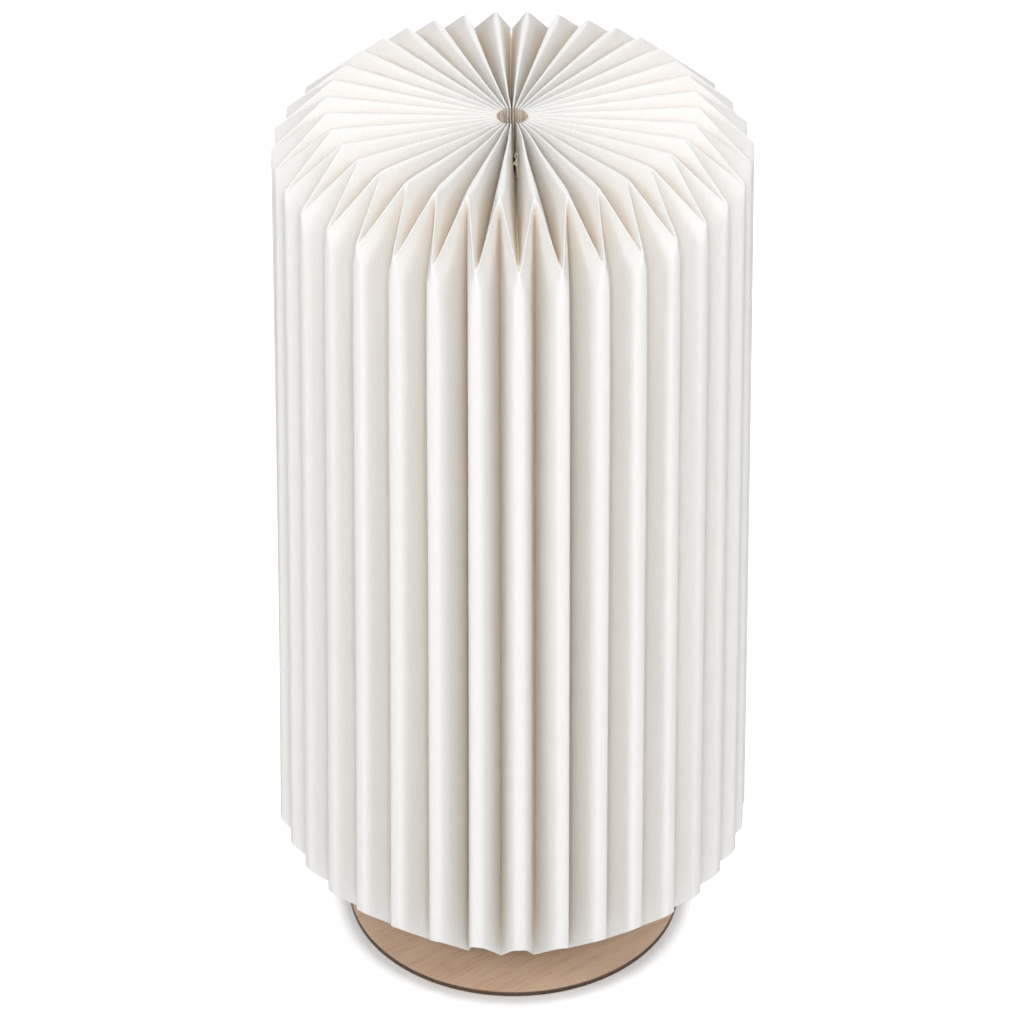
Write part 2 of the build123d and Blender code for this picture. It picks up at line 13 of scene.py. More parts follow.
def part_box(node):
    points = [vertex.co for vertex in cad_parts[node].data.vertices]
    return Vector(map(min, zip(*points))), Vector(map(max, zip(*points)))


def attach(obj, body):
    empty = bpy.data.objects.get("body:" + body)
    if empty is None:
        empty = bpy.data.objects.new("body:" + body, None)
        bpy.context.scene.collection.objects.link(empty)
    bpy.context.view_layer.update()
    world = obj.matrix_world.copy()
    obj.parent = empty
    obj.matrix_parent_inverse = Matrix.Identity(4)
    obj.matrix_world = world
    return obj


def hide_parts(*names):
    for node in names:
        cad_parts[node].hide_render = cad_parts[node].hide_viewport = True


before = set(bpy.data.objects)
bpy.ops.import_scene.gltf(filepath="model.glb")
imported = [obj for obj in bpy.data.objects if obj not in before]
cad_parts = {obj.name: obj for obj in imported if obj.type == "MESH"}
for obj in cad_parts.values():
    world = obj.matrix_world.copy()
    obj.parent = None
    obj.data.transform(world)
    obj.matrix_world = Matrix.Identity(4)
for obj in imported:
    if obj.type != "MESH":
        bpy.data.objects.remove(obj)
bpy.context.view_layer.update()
MM = 0.001

# ---------------------------------------------------------------- paper shade
FRONT = -math.pi / 2  # as an angle from +X
PLEATS = 36
FOLDS = 2 * PLEATS
IS_RIDGE = np.arange(FOLDS) % 2 == 0  # ridges and valleys of the side take turns
PAPER_THICKNESS = 0.25

SHADE_TOP = 422.7
CORNER_RADIUS = 77.3
TIP_HEIGHT = 402.2
TIP_RADIUS = 100.0
HEM_TIP_HEIGHT = 52.9
HEM_TIP_RADIUS = 106.0
HEM_CORNER_HEIGHT = 30.1
HUB_RADIUS = 6.3
HUB_RIM_HEIGHT = 416.2
HEM_RETURN = 8.93
MOUTH_RISE = 0.4

SHADE_TURN = 0.025  # radians, by which the front ridge stands to the right
HEM_TILT = (-0.030, -0.008)  # slopes of the hem's ring along X and Y
HEM_SHIFT = -0.7  # of the hem along X
SEAM_RADII = (6.3, 16.0, 22.0, 38.0, 77.0, 100.0)
SEAM_SHIFT = (0.6, 0.78, 0.88, 0.4, 0.15, 0.0)  # of the front notch, to the right
SEAM_GAP = (0.7, 1.02, 0.88, 0.7, 0.15, 0.0)  # by which it's opened, on each side
FAN_FOLDS = (-36, -16, 0, 36)
HEM_FAN = (0.0, -0.042, 0.006, 0.0)  # radians by which those folds stray at the hem
BACK_FOLDS = 16  # at the back of the top, which stand off their even places
BACK_FAN = -0.023  # radians by which they do

# ---------------------------------------------------------------- unevenness of the folds
# A spread is a standard deviation.
SHADE_SEED = 7
TOP_LEAN_SPREAD = 0.0022  # radians round the axis, at the top's turn
HEM_LEAN_SPREAD = 0.0032
TOP_REACH_SPREAD = 0.25  # of the radius, at the top's turn
HEM_REACH_SPREAD = 0.4
HEM_DROP_SPREAD = 0.4  # of the height, at the hem
BOW_MEAN = 0.15  # by which a panel swells in its middle
BOW_SPREAD = 0.3
BOW_ON_TOP = 0.4  # share of the swelling that the top's panels have
RIPPLE_SHARE = 0.4  # of the swelling, which comes and goes down the side
RIPPLE_RATE = 3.1  # radians for each band of the sheet
EYE_SHADE_SPREAD = 0.28  # of the painted shade round the eye, from fold to fold

# ---------------------------------------------------------------- string
STRING_RING_RADIUS = 22.0
STRING_DEPTH = 0.48  # share of the pleat's depth, from its crest down

# ---------------------------------------------------------------- sheet's mesh
ROW_STEPS = (18, 30, 5)  # rows across the top, down the side and under the hem
ROW_BUNCHING = (1.6, 1.4, 1.0)  # of each band's rows towards its start
SHOULDER_STEPS = 4  # columns round each shoulder of a fold's back
PANEL_STEPS = 4  # columns on the flat of each panel
TURN_ROUNDING = 1.1  # length that bends where a fold turns over the top or the hem
TURN_STEPS = 3
# Along the sheet: 0 at the eye, 1 and 2 at the turns, 3 at the mouth.
TRAVEL = (0.0, 0.17, 0.42, 0.9, 1.0, 1.025, 1.15, 2.0, 2.3, 3.0)
# Width of a fold's back at each of these, on the side's ridges and on its valleys.
RIDGE_BACK = (0.80, 0.45, 0.50, 1.0, 1.0, 5.6, 6.4, 6.0, 1.0, 0.36)
VALLEY_BACK = (0.26, 0.50, 1.30, 3.6, 1.1, 0.5, 0.40, 0.40, 0.36, 0.36)
# Length of the panel that bends beside that back.
RIDGE_SOFT = (0.4, 0.9, 1.8, 3.6, 3.0, 5.0, 5.0, 4.5, 3.0, 1.5)
VALLEY_SOFT = (0.4, 1.6, 3.6, 6.0, 3.5, 2.0, 2.0, 2.2, 2.8, 1.5)

# ---------------------------------------------------------------- painted shade on the paper
TOP_RUN = 7.0  # from the turn, over which the painted shade in the top's creases deepens
SIDE_RUN = 6.0  # from the turn, over which the painted shade in the side's creases deepens
HEM_RUN = 22.0  # before the hem, over which that painted shade grows pale again
EYE_RUN = 1.8  # width of the painted shade round the eye's edge
# Depth of painted shade at the bottom of a crease, where 0 is the white of the crests.
SIDE_DEPTH = 0.42
HEM_SHARE = 0.35  # of the side's painted shade, left at the hem
TOP_DEPTH = 0.65
TOP_FALLOFF = 0.7  # power of the painted shade's way down into the top's creases
EYE_DEPTH = 0.8
LINE_DEPTH = 0.40  # more painted shade, in a dark line along the bottom of every crease
LINE_WIDTH = 0.1  # as a share of the panel
TOP_LINE_SHARE = 0.4  # of the line's painted shade, on the top
# The paper's own white at 0, then painted shade: warm tan down to dark brown at 1.
PAPER_SHADE_TONES = [
    (0.0, (0.940, 0.932, 0.918)),
    (0.25, (0.938, 0.908, 0.868)),
    (0.55, (0.910, 0.835, 0.738)),
    (0.85, (0.715, 0.600, 0.475)),
    (1.0, (0.400, 0.325, 0.255)),
]
SEEP_SHARE = 0.05  # of the light, which comes through the sheet
SEEP_COLOUR = (0.94, 0.86, 0.76)

# ---------------------------------------------------------------- thread, felt and screw
TUBE_START = (0.3, 0.2, 0.93)  # a direction that no tube starts along
STRING_LAYS = 60
LAY_STEPS = 8  # points along each turn of the strands
RING_SIDES = 6  # round each strand of the ring
STRAND_SIDES = 8  # round the knot, the bow and the tail
STRAND_OFFSET = 0.18
STRAND_RADIUS = 0.22
KNOT_SHIFT = 1.15  # of the knot, to the right
KNOT_SIZE = 0.36
KNOT_STEPS = 48
BOW_WIDTH = 1.3
BOW_HEIGHT = 4.6
BOW_ROUNDING = 1.2  # power that rounds the bow's top
BOW_CURL = 0.5
BOW_STEPS = 24
TAIL_RADIUS = 0.253
TAIL_DROP = 4.8
TAIL_LEAN = 3.2
TAIL_SWAY = 0.25
TAIL_CURL = 0.3
TAIL_STEPS = 14
PAD_COUNT = 3
PAD_CIRCLE = 64.0
PAD_RADIUS = 7.0
PAD_SIDES = 56
# Share of a pad's radius and of its height, from the middle below to the middle above.
PAD_PROFILE = (
    (0.001, 0.0),
    (0.9, 0.0),
    (0.98, 0.04),
    (1.0, 0.2),
    (1.0, 0.8),
    (0.97, 1.0),
    (0.001, 1.0),
)
PAD_FUZZ = 0.012  # share by which the felt's edge draws in
PAD_SEED = 3
THREAD_PITCH = 3.629
THREAD_DEPTH = 1.1
THREAD_FADE = 1.8
THREAD_SIDES = 96
THREAD_STEPS = 10  # rows for each turn
CAP_LIP_RADIUS = 10.2
CAP_WALL = 0.3
CAP_BEVEL_WIDTH = 0.9
CAP_BEVEL_HEIGHT = 1.2
CAP_SHOULDER = 2.0
CAP_COLLAR = 5.5  # smooth top of the cap, above its threads
SHELL_EYE_RADIUS = 8.0
SHELL_WALL = 0.4
SHELL_FLOOR_INSET = 1.2
SHELL_BEVEL = 0.3
SHELL_CURB = 1.0  # height at which the upright wall starts
SHELL_FOOT = 2.0  # smooth bottom of the shell, under its threads
SHELL_FLARE = 3.0  # smooth top of the shell, above its threads

# ---------------------------------------------------------------- plywood
DISC_RADIUS = 76.7
RISER_RADIUS = 44.0
GRAIN_TURN = math.radians(38)
BURN_INSET = 0.55  # from the rim to where the laser's browning starts
BURN_RUN = 0.45  # over which it deepens

# ---------------------------------------------------------------- stage and light, in metres
CAMERA_PLACE = (-0.00050, -1.5899, 1.3449)
CAMERA_PITCH = 0.6176
CAMERA_ROLL = 0.0025
CAMERA_LENS = 156.24  # millimetres, on a sensor of this width
SENSOR_WIDTH = 36.0
CAMERA_NEAR = 0.05
CAMERA_FAR = 30.0
FLOOR_SIZE = 14.0
# Distance from the axis, and the share of white that the floor shows by itself there. Held low
# close to the disc, so a darker ring is painted round it where its contact shadow falls.
FLOOR_GLOW = ((0.0775, 0.04), (0.0845, 0.58), (0.9, 0.85))
SKY_LIGHT = 0.19
KEY_PLACE = (0.0, -2.35, 1.85)
KEY_SIZE = (0.7, 0.5)
KEY_POWER = 31.0
LEFT_PLACE = (-2.0, -1.8, 2.3)
RIGHT_PLACE = (2.0, -1.8, 2.3)
WING_SIZE = (0.8, 0.8)
LEFT_POWER = 20.0
RIGHT_POWER = 15.0
TOP_PLACE = (0.0, -0.6, 4.2)
TOP_SIZE = (1.4, 1.4)
TOP_POWER = 47.0
BACK_PLACE = (0.4, 2.5, 1.6)
BACK_SIZE = (1.9, 1.2)
BACK_POWER = 30.0
LAMP_AIM = (0.0, 0.0, 0.2)


def half_pleat(outer, inner):
    """Distance between neighbouring folds at these radii, in a level plane."""
    return math.sqrt(outer**2 + inner**2 - 2 * outer * inner * math.cos(math.pi / PLEATS))


def pleat_depth(panel, radius):
    """How deep the radiating pleats of a panel's width stand at this radius."""
    return math.sqrt(panel**2 - half_pleat(radius, radius) ** 2)


FLARE = (HEM_TIP_RADIUS - TIP_RADIUS) / (TIP_HEIGHT - HEM_TIP_HEIGHT)
APEX_HEIGHT = TIP_HEIGHT + TIP_RADIUS / FLARE


def valley_radius(height):
    """Radius of the side's valleys at a height."""
    return CORNER_RADIUS * (APEX_HEIGHT - height) / (APEX_HEIGHT - SHADE_TOP)


TOP_PANEL = half_pleat(TIP_RADIUS, valley_radius(TIP_HEIGHT))
HEM_PANEL = half_pleat(HEM_TIP_RADIUS, valley_radius(HEM_TIP_HEIGHT))
HUB_FLOOR_HEIGHT = HUB_RIM_HEIGHT - pleat_depth(TOP_PANEL, HUB_RADIUS)
MOUTH_RADIUS = valley_radius(HEM_CORNER_HEIGHT) - HEM_RETURN
MOUTH_FLOOR_HEIGHT = HEM_CORNER_HEIGHT + MOUTH_RISE
MOUTH_CROWN_HEIGHT = MOUTH_FLOOR_HEIGHT + pleat_depth(HEM_PANEL, MOUTH_RADIUS)

# Radius and height of a fold at the eye, the top's turn, the hem's turn and the mouth.
RIDGE_FOLD = [
    (HUB_RADIUS, HUB_FLOOR_HEIGHT),
    (TIP_RADIUS, TIP_HEIGHT),
    (HEM_TIP_RADIUS, HEM_TIP_HEIGHT),
    (MOUTH_RADIUS, MOUTH_CROWN_HEIGHT),
]
VALLEY_FOLD = [
    (HUB_RADIUS, HUB_RIM_HEIGHT),
    (CORNER_RADIUS, SHADE_TOP),
    (valley_radius(HEM_CORNER_HEIGHT), HEM_CORNER_HEIGHT),
    (MOUTH_RADIUS, MOUTH_FLOOR_HEIGHT),
]


# ---------------------------------------------------------------- materials
class Paint:
    """One node material, with short calls for the nodes that its recipe needs."""

    def __init__(self, name, roughness=0.5, metallic=0.0):
        self.material = bpy.data.materials.new(name)
        self.material.use_nodes = True
        self.tree = self.material.node_tree
        self.shader = self.tree.nodes["Principled BSDF"]
        self.shader.inputs["Roughness"].default_value = roughness
        self.shader.inputs["Metallic"].default_value = metallic
        self.place = self.node("ShaderNodeTexCoord").outputs["Object"]

    def node(self, kind, **values):
        made = self.tree.nodes.new(kind)
        for key, value in values.items():
            setattr(made, key, value)
        return made

    def link(self, source, target):
        self.tree.links.new(source, target)

    def drawn_out(self, stretch, turn=0.0):
        """The place on the piece, drawn out along its axes after a turn about Z."""
        mapping = self.node("ShaderNodeMapping", vector_type="TEXTURE")
        mapping.inputs["Scale"].default_value = stretch
        mapping.inputs["Rotation"].default_value = (0, 0, turn)
        self.link(self.place, mapping.inputs["Vector"])
        return mapping.outputs["Vector"]

    def noise(self, scale, detail=3.0, vector=None, roughness=0.5):
        noise = self.node("ShaderNodeTexNoise")
        noise.inputs["Scale"].default_value = scale
        noise.inputs["Detail"].default_value = detail
        noise.inputs["Roughness"].default_value = roughness
        self.link(vector or self.place, noise.inputs["Vector"])
        return noise.outputs["Fac"]

    def ramp(self, factor, stops):
        """Colours along a factor, from (position, colour) pairs."""
        ramp = self.node("ShaderNodeValToRGB")
        elements = ramp.color_ramp.elements
        while len(elements) < len(stops):
            elements.new(0.5)
        for element, (position, colour) in zip(elements, stops):
            element.position = position
            element.color = (*colour, 1.0)
        self.link(factor, ramp.inputs["Fac"])
        return ramp.outputs["Color"]

    def blend(self, factor, first, second, kind="MIX"):
        """Two colours mixed by a factor, each a value or a socket of another node."""
        mix = self.node("ShaderNodeMix", data_type="RGBA", blend_type=kind)
        for socket, value in ((0, factor), (6, first), (7, second)):
            if isinstance(value, (int, float)):
                mix.inputs[socket].default_value = value
            elif isinstance(value, tuple):
                mix.inputs[socket].default_value = (*value, 1.0)
            else:
                self.link(value, mix.inputs[socket])
        return mix.outputs[2]

    def math(self, kind, first, second=0.0, clamp=False):
        made = self.node("ShaderNodeMath", operation=kind, use_clamp=clamp)
        for socket, value in enumerate((first, second)):
            if isinstance(value, (int, float)):
                made.inputs[socket].default_value = value
            else:
                self.link(value, made.inputs[socket])
        return made.outputs[0]

    def colour(self, source):
        self.link(source, self.shader.inputs["Base Color"])

    def rough(self, factor, low, high):
        """Roughness that wanders between two values."""
        spread = self.node("ShaderNodeMapRange")
        spread.inputs["To Min"].default_value = low
        spread.inputs["To Max"].default_value = high
        self.link(factor, spread.inputs["Value"])
        self.link(spread.outputs["Result"], self.shader.inputs["Roughness"])

    def bump(self, height, distance, strength=1.0):
        bump = self.node("ShaderNodeBump")
        bump.inputs["Strength"].default_value = strength
        bump.inputs["Distance"].default_value = distance
        self.link(height, bump.inputs["Height"])
        self.link(bump.outputs["Normal"], self.shader.inputs["Normal"])


def paper_paint(name, from_inside=False):
    """Uncoated white paper with painted shade, darker and warmer in its creases, with fibres and
    a little light through it.
    """
    paint = Paint(name, roughness=0.85)
    depth = paint.node("ShaderNodeAttribute", attribute_name="painted_shade_depth").outputs["Fac"]
    # On the inner skin the painted shade falls in its own creases, which are the outer crests.
    if from_inside:
        depth = paint.math("SUBTRACT", 1.0, depth)
    uneven = paint.math("SUBTRACT", paint.noise(38.0), 0.5)
    depth = paint.math("ADD", depth, paint.math("MULTIPLY", uneven, 0.12), clamp=True)
    # Painted shade: the paper darkens and warms with its depth in the creases.
    tone = paint.ramp(depth, PAPER_SHADE_TONES)
    fibres = paint.noise(900.0, detail=4.0, vector=paint.drawn_out((1, 1, 8)), roughness=0.65)
    fleck = paint.ramp(fibres, [(0.3, (0.965, 0.962, 0.955)), (0.6, (1.0, 1.0, 1.0))])
    paint.colour(paint.blend(1.0, tone, fleck, "MULTIPLY"))
    paint.shader.inputs["Specular IOR Level"].default_value = 0.25
    tooth = paint.noise(2600.0, vector=paint.drawn_out((1, 1, 3)))
    paint.bump(tooth, distance=0.00004, strength=0.5)
    seep = paint.node("ShaderNodeBsdfTranslucent")
    seep.inputs["Color"].default_value = (*SEEP_COLOUR, 1.0)
    mix = paint.node("ShaderNodeMixShader")
    mix.inputs["Fac"].default_value = SEEP_SHARE
    paint.link(paint.shader.outputs["BSDF"], mix.inputs[1])
    paint.link(seep.outputs["BSDF"], mix.inputs[2])
    paint.link(mix.outputs["Shader"], paint.tree.nodes["Material Output"].inputs["Surface"])
    return paint.material


def wood_paint(name, burnt_radius):
    """Thin plywood: streaks along the grain, fine pores, a laser-browned rim."""
    paint = Paint(name, roughness=0.55)
    along_grain = [paint.drawn_out((length, 1, 1), GRAIN_TURN) for length in (7, 26, 14)]
    grain = paint.noise(48.0, detail=5.0, vector=along_grain[0], roughness=0.6)
    streaks = paint.noise(420.0, detail=4.0, vector=along_grain[1], roughness=0.7)
    pores = paint.noise(1500.0, detail=2.0, vector=along_grain[2])
    light = (0.93, 0.67, 0.485)
    middle = (0.90, 0.64, 0.455)
    dark = (0.84, 0.57, 0.395)
    clear = (1.0, 1.0, 1.0)
    tone = paint.ramp(grain, [(0.3, dark), (0.5, middle), (0.7, light)])
    lines = paint.ramp(streaks, [(0.34, (0.84, 0.79, 0.74)), (0.5, clear)])
    tone = paint.blend(0.7, tone, lines, "MULTIPLY")
    specks = paint.ramp(pores, [(0.33, (0.78, 0.72, 0.66)), (0.42, clear)])
    tone = paint.blend(0.6, tone, specks, "MULTIPLY")
    apart = paint.node("ShaderNodeSeparateXYZ")
    paint.link(paint.place, apart.inputs["Vector"])
    across = paint.math("POWER", apart.outputs["X"], 2.0)
    along = paint.math("POWER", apart.outputs["Y"], 2.0)
    radius = paint.math("SQRT", paint.math("ADD", across, along))
    edge = paint.math("SUBTRACT", radius, (burnt_radius - BURN_INSET) * MM)
    burnt = paint.math("MULTIPLY", edge, 1 / (BURN_RUN * MM), clamp=True)
    soot_tones = [(0.35, (0.045, 0.024, 0.013)), (0.7, (0.10, 0.055, 0.03))]
    soot = paint.ramp(paint.noise(420.0), soot_tones)
    paint.colour(paint.blend(burnt, tone, soot))
    paint.rough(grain, 0.45, 0.62)
    paint.bump(streaks, distance=0.00006, strength=0.5)
    return paint.material


def plain_paint(name, colour, roughness, metallic=0.0, grain=500.0, depth=0.00002, drift=0.05):
    """A moulded, plated or painted finish: faint clouds, fine bump, uneven gloss."""
    paint = Paint(name, roughness, metallic)
    darker = tuple(c * (1 - drift) for c in colour)
    paint.colour(paint.ramp(paint.noise(30.0), [(0.35, darker), (0.65, colour)]))
    paint.rough(paint.noise(160.0), roughness * 0.85, min(1.0, roughness * 1.15))
    paint.bump(paint.noise(grain), distance=depth, strength=0.4)
    return paint


def felt_paint():
    """Grey-brown pressed felt."""
    paint = plain_paint("felt", (0.36, 0.33, 0.30), 0.95, grain=1600.0, depth=0.0002, drift=0.3)
    paint.shader.inputs["Sheen Weight"].default_value = 0.4
    return paint.material


def opal_paint():
    """Milky plastic that lets light wander under its surface."""
    paint = plain_paint("opal", (0.88, 0.875, 0.86), 0.32, grain=900.0, depth=0.00001, drift=0.02)
    paint.shader.inputs["Subsurface Weight"].default_value = 0.25
    paint.shader.inputs["Subsurface Radius"].default_value = (0.9, 0.8, 0.7)
    paint.shader.inputs["Subsurface Scale"].default_value = 0.003
    return paint.material


def thread_paint():
    """Waxed linen thread: straw-coloured, with hairs of lighter fibre."""
    paint = Paint("thread", roughness=0.7)
    hairs = paint.noise(5200.0)
    paint.colour(paint.ramp(hairs, [(0.35, (0.50, 0.41, 0.30)), (0.65, (0.82, 0.74, 0.61))]))
    paint.bump(hairs, distance=0.00006, strength=0.6)
    paint.shader.inputs["Sheen Weight"].default_value = 0.2
    return paint.material


def winding_paint():
    """Enamelled copper wire, wound in close turns round the core."""
    paint = Paint("coil", roughness=0.3, metallic=0.6)
    turns = paint.node("ShaderNodeTexWave", bands_direction="Z")
    turns.inputs["Scale"].default_value = 900.0
    turns.inputs["Distortion"].default_value = 0.6
    paint.link(paint.place, turns.inputs["Vector"])
    copper = [(0.2, (0.16, 0.06, 0.03)), (0.8, (0.52, 0.24, 0.12))]
    paint.colour(paint.ramp(turns.outputs["Fac"], copper))
    paint.bump(turns.outputs["Fac"], distance=0.0002, strength=0.8)
    return paint.material


# ---------------------------------------------------------------- mesh helpers
def ring_faces(rows, columns):
    """Quads of a grid whose rows are closed rings, seen from outside as the rows go down."""
    index = np.arange(rows * columns).reshape(rows, columns)
    beside = np.roll(index, -1, axis=1)
    return np.stack([index[:-1], index[1:], beside[1:], beside[:-1]], -1).reshape(-1, 4)


def ring_row(turns, reach, height):
    """Points round the axis at these angles, this far out and this high."""
    return np.stack([np.cos(turns) * reach, np.sin(turns) * reach, 0 * turns + height], -1)


def ring_mesh(name, points):
    """A mesh from rows of points that close into rings, with quads between them."""
    rows, columns, _ = points.shape
    mesh = bpy.data.meshes.new(name)
    mesh.from_pydata(points.reshape(-1, 3).tolist(), [], ring_faces(rows, columns).tolist())
    return mesh


def add_piece(name, mesh, materials, body, replaced):
    """Puts a mesh into the scene with its finish, riding on its body."""
    piece = bpy.data.objects.new(name, mesh)
    bpy.context.scene.collection.objects.link(piece)
    for material in materials:
        mesh.materials.append(material)
    mesh.polygons.foreach_set("use_smooth", [True] * len(mesh.polygons))
    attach(piece, body)
    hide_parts(*replaced)
    return piece


def thicken(piece, thickness, offset=0.0):
    """Gives a skin its wall; an offset of -1 puts the wall inside, 1 outside."""
    wall = piece.modifiers.new("wall", "SOLIDIFY")
    wall.thickness = thickness * MM
    wall.offset = offset
    return wall


def unit(vectors):
    """The vectors at a length of 1."""
    return vectors / np.linalg.norm(vectors, axis=-1, keepdims=True)


def tube(points, radius, sides, closed):
    """Rows of a round tube along points, framed without twist."""
    if closed:
        ahead = np.roll(points, -1, axis=0) - np.roll(points, 1, axis=0)
    else:
        ahead = np.gradient(points, axis=0)
    ahead = unit(ahead)
    side = np.cross(ahead[0], TUBE_START)
    turns = np.linspace(0, 2 * math.pi, sides, endpoint=False)
    rows = []
    for point, direction in zip(points, ahead):
        side = unit(side - direction * side.dot(direction))
        other = np.cross(direction, side)
        spokes = np.outer(np.cos(turns), side) + np.outer(np.sin(turns), other)
        rows.append(point + radius * spokes)
    return np.array(rows)


def tube_parts(points, radius, sides=STRAND_SIDES, closed=False):
    """Vertices and faces of a tube, its ends capped unless it closes on itself."""
    rows = tube(points, radius, sides, closed)
    count = len(rows)
    index = np.arange(count * sides).reshape(count, sides)
    nearby = np.roll(index, -1, axis=1)
    ahead = np.roll(index, -1, axis=0) if closed else index[1:]
    nearby_ahead = np.roll(nearby, -1, axis=0) if closed else nearby[1:]
    first = slice(None) if closed else slice(0, -1)
    faces = np.stack([index[first], nearby[first], nearby_ahead, ahead], -1)
    faces = faces.reshape(-1, 4).tolist()
    if not closed:
        faces.append(index[0][::-1].tolist())
        faces.append(index[-1].tolist())
    return rows.reshape(-1, 3), faces


def joined_mesh(name, parts):
    """One mesh from several lots of vertices and faces."""
    vertices, faces = [], []
    for points, quads in parts:
        start = len(vertices)
        vertices += (points * MM).tolist()
        faces += [[start + i for i in face] for face in quads]
    mesh = bpy.data.meshes.new(name)
    mesh.from_pydata(vertices, [], faces)
    return mesh


# ---------------------------------------------------------------- folded shade
def fold_rows():
    """(band, share) of each row from the eye to the mouth; a share above 1 lies in the turn."""
    rows = []
    for band, steps in enumerate(ROW_STEPS):
        for step in range(steps + 1):
            rows.append((band, (step / steps) ** ROW_BUNCHING[band]))
        if band < len(ROW_STEPS) - 1:
            rows += [(band, 1 + (step + 1) / (TURN_STEPS + 1)) for step in range(TURN_STEPS)]
    return rows


def fold_lines(stations):
    """Radius, height and travel of every fold at every row."""
    radius, height, travel = [], [], []
    for band, share in fold_rows():
        first, last = stations[:, band], stations[:, band + 1]
        if share > 1:
            into = unit(last - first)
            out = unit(stations[:, band + 2] - last)
            point = last + TURN_ROUNDING * (out * (share - 1) ** 2 - into * (2 - share) ** 2)
            travel.append(band + 1.0)
        else:
            length = np.linalg.norm(last - first, axis=1)[:, None]
            low = TURN_ROUNDING / length if band > 0 else 0.0
            high = 1 - TURN_ROUNDING / length if band < 2 else 1.0
            point = first + (last - first) * (low + (high - low) * share)
            travel.append(band + share)
        radius.append(point[:, 0])
        height.append(point[:, 1])
    return np.array(radius), np.array(height), np.array(travel)[:, None]


def strayed_folds():
    """How far each fold strays from its even place, drawn in a fixed order."""
    chance = np.random.default_rng(SHADE_SEED)
    return {
        "lean_top": chance.normal(0, TOP_LEAN_SPREAD, FOLDS),
        "lean_hem": chance.normal(0, HEM_LEAN_SPREAD, FOLDS),
        "reach_top": chance.normal(0, TOP_REACH_SPREAD, FOLDS),
        "reach_hem": chance.normal(0, HEM_REACH_SPREAD, FOLDS),
        "drop_hem": chance.normal(0, HEM_DROP_SPREAD, FOLDS),
        "bow": chance.normal(BOW_MEAN, BOW_SPREAD, FOLDS),
        "phase": chance.uniform(0, 2 * math.pi, FOLDS),
        # browned: a random share of painted shade round the eye, fold by fold
        "browned": chance.normal(0, EYE_SHADE_SPREAD, FOLDS),
    }


def fold_angles(radius, travel, stray):
    """Angle of every fold at every row, with the open seam at the front and the fans."""
    folds = np.arange(FOLDS)
    on_top, on_side = np.clip(travel, 0, 1), np.clip(travel - 1, 0, 1)
    signed = (folds + PLEATS) % FOLDS - PLEATS
    fade = 1 - np.maximum(np.abs(signed) - 1, 0) / (PLEATS - 1)
    gap = np.sign(signed) * np.interp(radius, SEAM_RADII, SEAM_GAP)
    shift = np.interp(radius, SEAM_RADII, SEAM_SHIFT) + gap
    seam = np.where(travel <= 1, shift * fade / radius, 0)
    lean_hem = stray["lean_hem"] + np.interp(signed, FAN_FOLDS, HEM_FAN)
    behind = np.clip((np.abs(signed) - PLEATS + BACK_FOLDS) * 2 / BACK_FOLDS, 0, 1)
    lean_top = stray["lean_top"] + BACK_FAN * behind
    lean = lean_top * on_top * (1 - on_side) + lean_hem * on_side
    return FRONT + SHADE_TURN + math.pi / PLEATS * folds + lean + seam


def crease_lines(stray):
    """Points along the middle of every fold, the way across its back, and each row's travel."""
    stations = np.where(IS_RIDGE[:, None, None], RIDGE_FOLD, VALLEY_FOLD)
    stations[:, 1, 0] += stray["reach_top"]
    stations[:, 2, 0] += stray["reach_hem"]
    stations[:, 2:, 1] += stray["drop_hem"][:, None]
    radius, height, travel = fold_lines(stations)
    angle = fold_angles(radius, travel, stray)
    level = np.zeros_like(angle)
    outward = np.stack([np.cos(angle), np.sin(angle), level], -1)
    sideways = np.stack([-np.sin(angle), np.cos(angle), level], -1)
    crease = outward * radius[..., None]
    crease[..., 2] = height
    sunk = np.clip(travel - 1, 0, 1) ** 2
    crease[..., 0] += sunk * HEM_SHIFT
    crease[..., 2] += sunk * (HEM_TILT[0] * crease[..., 0] + HEM_TILT[1] * crease[..., 1])
    return crease, sideways, travel


def by_fold(travel, ridges, valleys):
    """A width along the sheet, one for the side's ridges and one for its valleys."""
    on_ridge = np.interp(travel, TRAVEL, ridges)
    on_valley = np.interp(travel, TRAVEL, valleys)
    return np.where(IS_RIDGE, on_ridge, on_valley)[..., None]


def shoulder(first, corner, last):
    """Points that round a corner."""
    bend = []
    for t in np.linspace(0, 1, SHOULDER_STEPS):
        bend.append((1 - t) ** 2 * first + 2 * (1 - t) * t * corner + t**2 * last)
    return bend


def sheet_points(crease, sideways, travel, stray):
    """The sheet's middle surface: across each row, every fold's round back, then its panel."""
    flat = by_fold(travel, RIDGE_BACK, VALLEY_BACK)
    left, right = crease - sideways * flat / 2, crease + sideways * flat / 2
    into = unit(np.roll(right, 1, axis=1) - left)
    out = unit(np.roll(left, -1, axis=1) - right)
    soft = by_fold(travel, RIDGE_SOFT, VALLEY_SOFT)
    start, stop = left + into * soft, right + out * soft
    columns = shoulder(start, left, (3 * left + right) / 4)
    columns += shoulder((left + 3 * right) / 4, right, stop)

    next_start = np.roll(start, -1, axis=1)
    normal = unit(np.cross(np.gradient(crease, axis=0), out))
    on_top, on_side = np.clip(travel, 0, 1), np.clip(travel - 1, 0, 1)
    free = np.sin(np.pi * on_side) + BOW_ON_TOP * np.sin(np.pi * on_top)
    swing = RIPPLE_SHARE * np.sin(RIPPLE_RATE * travel + stray["phase"])
    ripple = (1 - RIPPLE_SHARE + swing) * stray["bow"] * free
    for share in np.linspace(0, 1, PANEL_STEPS + 2)[1:-1]:
        swell = ripple[..., None] * math.sin(math.pi * share)
        columns.append(stop * (1 - share) + next_start * share + normal * swell)
    return np.stack(columns, axis=2)


